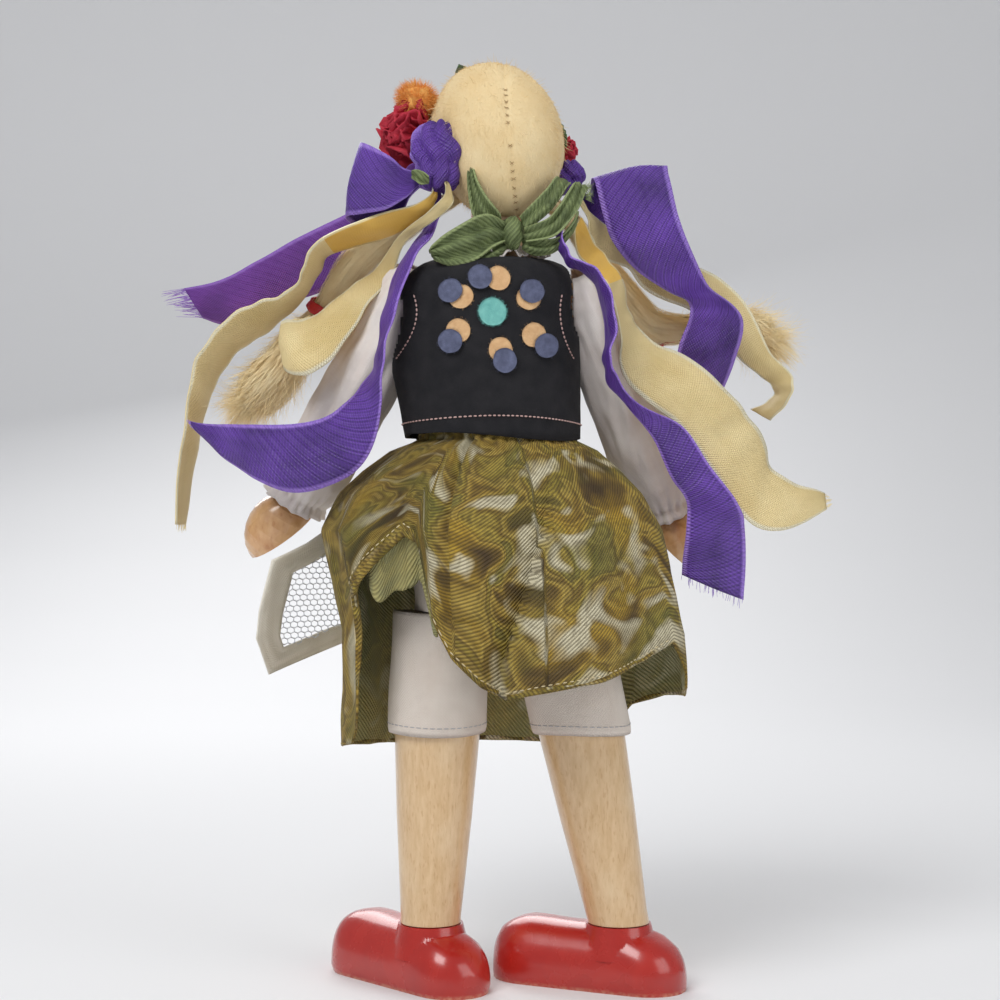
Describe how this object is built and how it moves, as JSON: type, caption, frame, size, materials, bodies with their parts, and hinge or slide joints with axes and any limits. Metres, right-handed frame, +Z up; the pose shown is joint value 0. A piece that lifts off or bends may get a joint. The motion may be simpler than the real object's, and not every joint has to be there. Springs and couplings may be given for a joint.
{
  "type": "peg doll",
  "caption": "Turned wooden peg doll in folk dress with hair cap, flower wreath, long ribbons, felt bodice, gathered skirt and net apron; head, arms, legs and feet turn.",
  "frame": {"origin": "on the ground, midway between the sides of the whole doll in plan, under its body", "axes": "+Z up along the body, the face looks along -Y, the doll's left side is +X"},
  "size_m": [0.1466, 0.0619, 0.2048],
  "materials": {
    "pale_wood": "varnished",
    "skin_wood": "painted and glossy",
    "shoe_paint": "red gloss paint",
    "plush": "short pile",
    "hair": "brushed fibre",
    "red_tie": "ribbed ribbon",
    "wreath_green": "woven tape",
    "leaf_green": "pressed fabric",
    "red_petals": "crumpled fabric",
    "orange_petals": "fluffy fabric",
    "yellow_petals": "crumpled fabric",
    "purple_ribbon": "ribbed ribbon",
    "yellow_ribbon": "ribbed ribbon",
    "green_ribbon": "satin ribbon",
    "white_cotton": "plain weave",
    "black_felt": "felt",
    "peach_felt": "felt",
    "slate_felt": "felt",
    "turquoise_felt": "felt",
    "skirt_print": "printed twill",
    "linen": "plain weave",
    "net": "hexagonal net",
    "cream_ribbon": "ribbon"
  },
  "bodies": {
    "torso": {"torso": "pale_wood", "left_shoulder_peg": "pale_wood", "right_shoulder_peg": "pale_wood", "left_hip_pin": "pale_wood", "right_hip_pin": "pale_wood", "blouse": "white_cotton", "collar": "white_cotton", "bodice": "black_felt", "peach_dots": "peach_felt", "slate_dots": "slate_felt", "turquoise_dot": "turquoise_felt", "skirt": "skirt_print", "drawers": "linen", "apron_net": "net", "apron_border": "cream_ribbon"},
    "head": {"head": "skin_wood", "neck_dowel": "pale_wood", "hair_cap": "plush", "left_hair_tail": "hair", "right_hair_tail": "hair", "left_hair_tie": "red_tie", "right_hair_tie": "red_tie", "wreath_band": "wreath_green", "wreath_leaves": "leaf_green", "red_flower_left": "red_petals", "orange_flower": "orange_petals", "front_flower": "yellow_petals", "red_flower_right": "red_petals", "left_ribbon_knot": "purple_ribbon", "right_ribbon_knot": "purple_ribbon", "left_purple_loop": "purple_ribbon", "left_purple_tail": "purple_ribbon", "left_purple_long": "purple_ribbon", "left_yellow_long": "yellow_ribbon", "left_yellow_loop": "yellow_ribbon", "right_purple_loop": "purple_ribbon", "right_purple_long": "purple_ribbon", "right_yellow_long": "yellow_ribbon", "right_yellow_loop": "yellow_ribbon", "nape_bow": "green_ribbon"},
    "left_arm": {"left_arm": "skin_wood", "left_sleeve": "white_cotton"},
    "right_arm": {"right_arm": "skin_wood", "right_sleeve": "white_cotton"},
    "left_leg": {"left_leg": "pale_wood", "left_ankle_peg": "pale_wood"},
    "right_leg": {"right_leg": "pale_wood", "right_ankle_peg": "pale_wood"},
    "left_foot": {"left_shoe": "shoe_paint"},
    "right_foot": {"right_shoe": "shoe_paint"}
  },
  "joints": [
    {"name": "neck_turn", "type": "hinge", "parent": "torso", "child": "head", "pos_m": [0.0005, 0, 0.1656], "axis": [0, 0, 1], "range_deg": [-25, 25], "deforming": ["left_hair_tail", "right_hair_tail", "left_hair_tie", "right_hair_tie", "left_purple_loop", "left_purple_tail", "left_purple_long", "left_yellow_long", "left_yellow_loop", "right_purple_loop", "right_purple_long", "right_yellow_long", "right_yellow_loop"]},
    {"name": "left_shoulder_swing", "type": "hinge", "parent": "torso", "child": "left_arm", "pos_m": [0.02, 0, 0.151], "axis": [-1, 0, 0], "range_deg": [0, 65]},
    {"name": "right_shoulder_swing", "type": "hinge", "parent": "torso", "child": "right_arm", "pos_m": [-0.019, 0, 0.151], "axis": [-1, 0, 0], "range_deg": [0, 65]},
    {"name": "left_hip_swing", "type": "hinge", "parent": "torso", "child": "left_leg", "pos_m": [0.011, 0, 0.089], "axis": [-1, 0, 0], "range_deg": [-18, 18], "deforming": ["drawers"]},
    {"name": "right_hip_swing", "type": "hinge", "parent": "torso", "child": "right_leg", "pos_m": [-0.01, 0, 0.089], "axis": [-1, 0, 0], "range_deg": [-18, 18], "deforming": ["drawers"]},
    {"name": "left_foot_turn", "type": "hinge", "parent": "left_leg", "child": "left_foot", "pos_m": [0.01541, 0, 0.014], "axis": [0, 0, 1], "range_deg": [-42, 5]},
    {"name": "right_foot_turn", "type": "hinge", "parent": "right_leg", "child": "right_foot", "pos_m": [-0.02634, 0, 0.014], "axis": [0, 0, 1], "range_deg": [-100, 0]}
  ]
}
